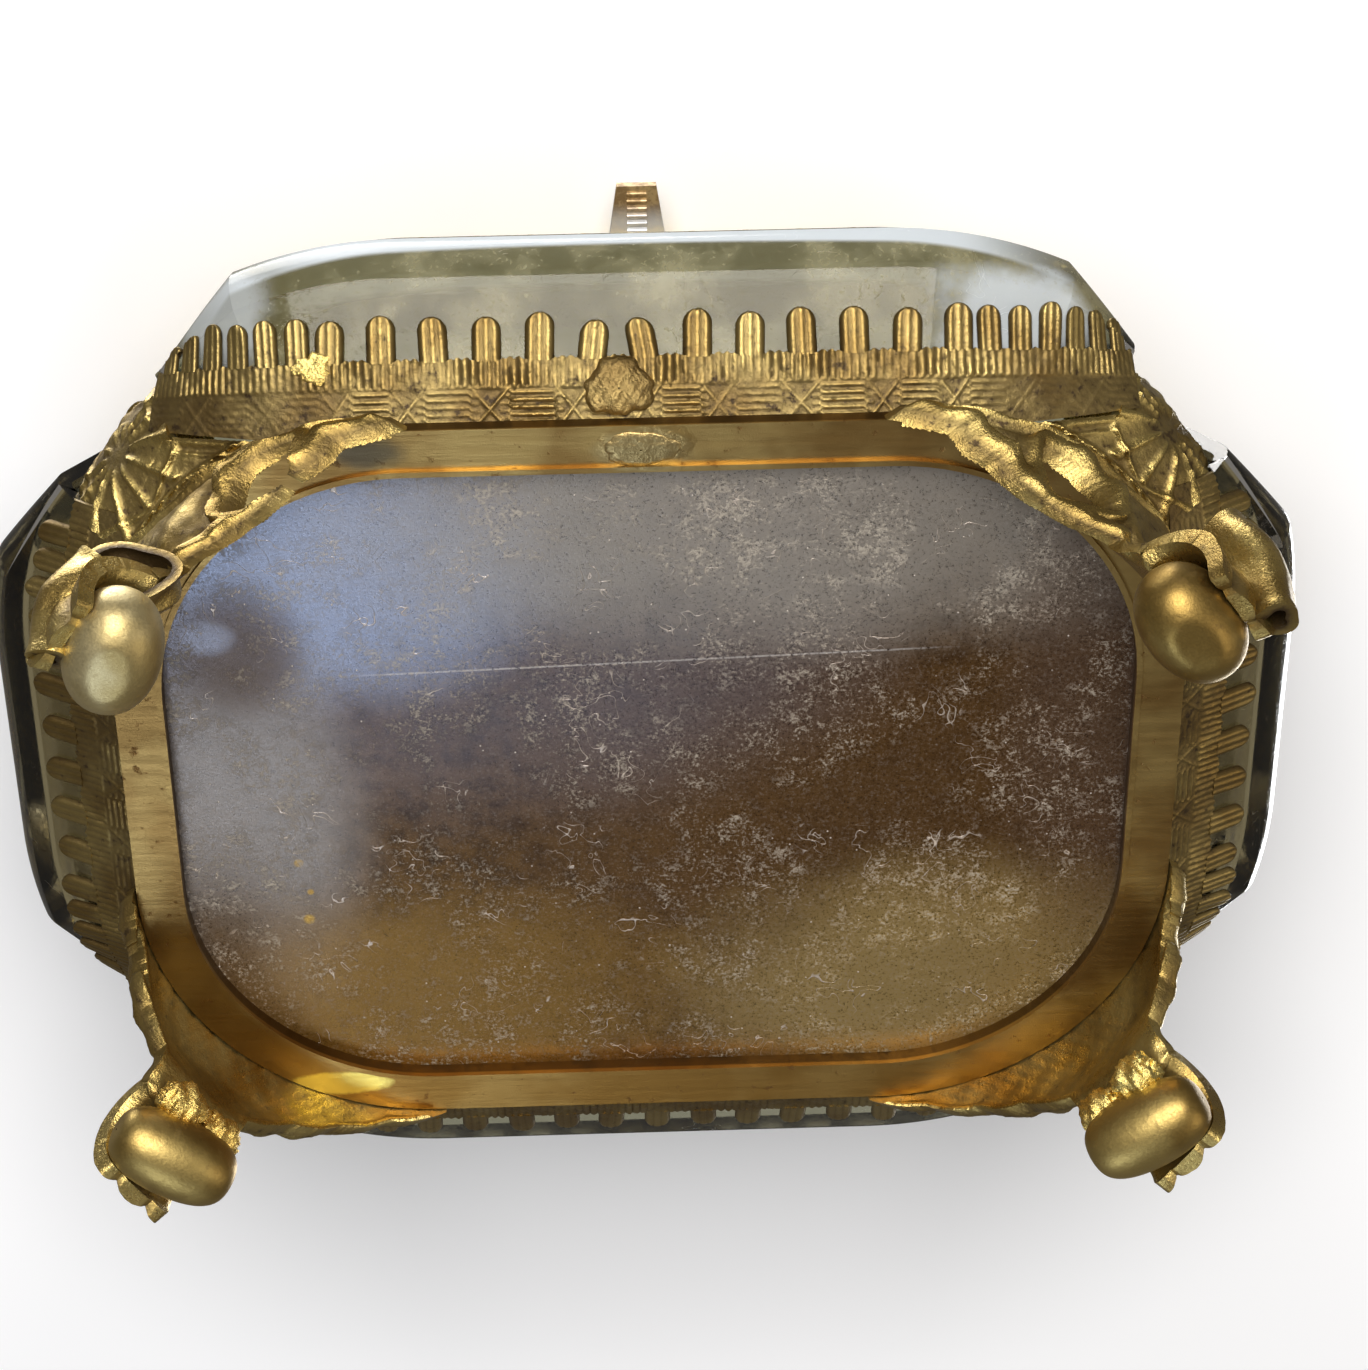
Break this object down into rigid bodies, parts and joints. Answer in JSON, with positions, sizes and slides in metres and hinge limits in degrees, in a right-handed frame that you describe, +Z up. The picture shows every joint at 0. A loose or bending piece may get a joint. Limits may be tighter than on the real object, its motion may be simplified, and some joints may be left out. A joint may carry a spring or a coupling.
{
  "type": "glass casket box",
  "caption": "Footed keepsake casket: bent bevelled glass panels in gilt brass with tongued gallery strips, engraved corners, claw-and-ball feet and a hinged lid.",
  "frame": {"origin": "on the table, under the middle of the box", "axes": "+X along the front, -Y faces the front where the thumb tab is, +Z up"},
  "size_m": [0.1366, 0.1124, 0.0699],
  "materials": {
    "gilt_brass": "worn gilt, softly polished",
    "stamped_brass": "stamped relief, paler on the crests",
    "cast_brass": "cast and chased, dark in the hollows",
    "ball_brass": "satin",
    "tin_plate": "rolled tinned sheet, tarnished",
    "glass": "polished, bevelled edges",
    "silk": "padded silk"
  },
  "bodies": {
    "casket": {"base_ring": "gilt_brass", "bottom_plate": "tin_plate", "gallery_front": "stamped_brass", "gallery_rear": "stamped_brass", "gallery_left": "stamped_brass", "gallery_right": "stamped_brass", "corner_mount_front_left": "cast_brass", "corner_mount_front_right": "cast_brass", "corner_mount_rear_left": "cast_brass", "corner_mount_rear_right": "cast_brass", "foot_front_left": "cast_brass", "foot_front_right": "cast_brass", "foot_rear_left": "cast_brass", "foot_rear_right": "cast_brass", "foot_ball_front_left": "ball_brass", "foot_ball_front_right": "ball_brass", "foot_ball_rear_left": "ball_brass", "foot_ball_rear_right": "ball_brass", "glass_front": "glass", "glass_rear": "glass", "glass_left": "glass", "glass_right": "glass", "upper_rim": "gilt_brass", "gallery_upper_front": "stamped_brass", "gallery_upper_rear": "stamped_brass", "gallery_upper_left": "stamped_brass", "gallery_upper_right": "stamped_brass", "hinge_knuckles_body": "gilt_brass", "hinge_pin": "ball_brass", "cushion": "silk"},
    "lid": {"lid_frame": "gilt_brass", "lid_gallery": "stamped_brass", "lid_glass": "glass", "thumb_tab": "cast_brass", "hinge_knuckle_lid": "gilt_brass"}
  },
  "joints": [
    {"name": "lid_hinge", "type": "hinge", "parent": "casket", "child": "lid", "pos_m": [0, 0.0459, 0.06388], "axis": [-1, 0, 0], "range_deg": [0, 100]}
  ]
}
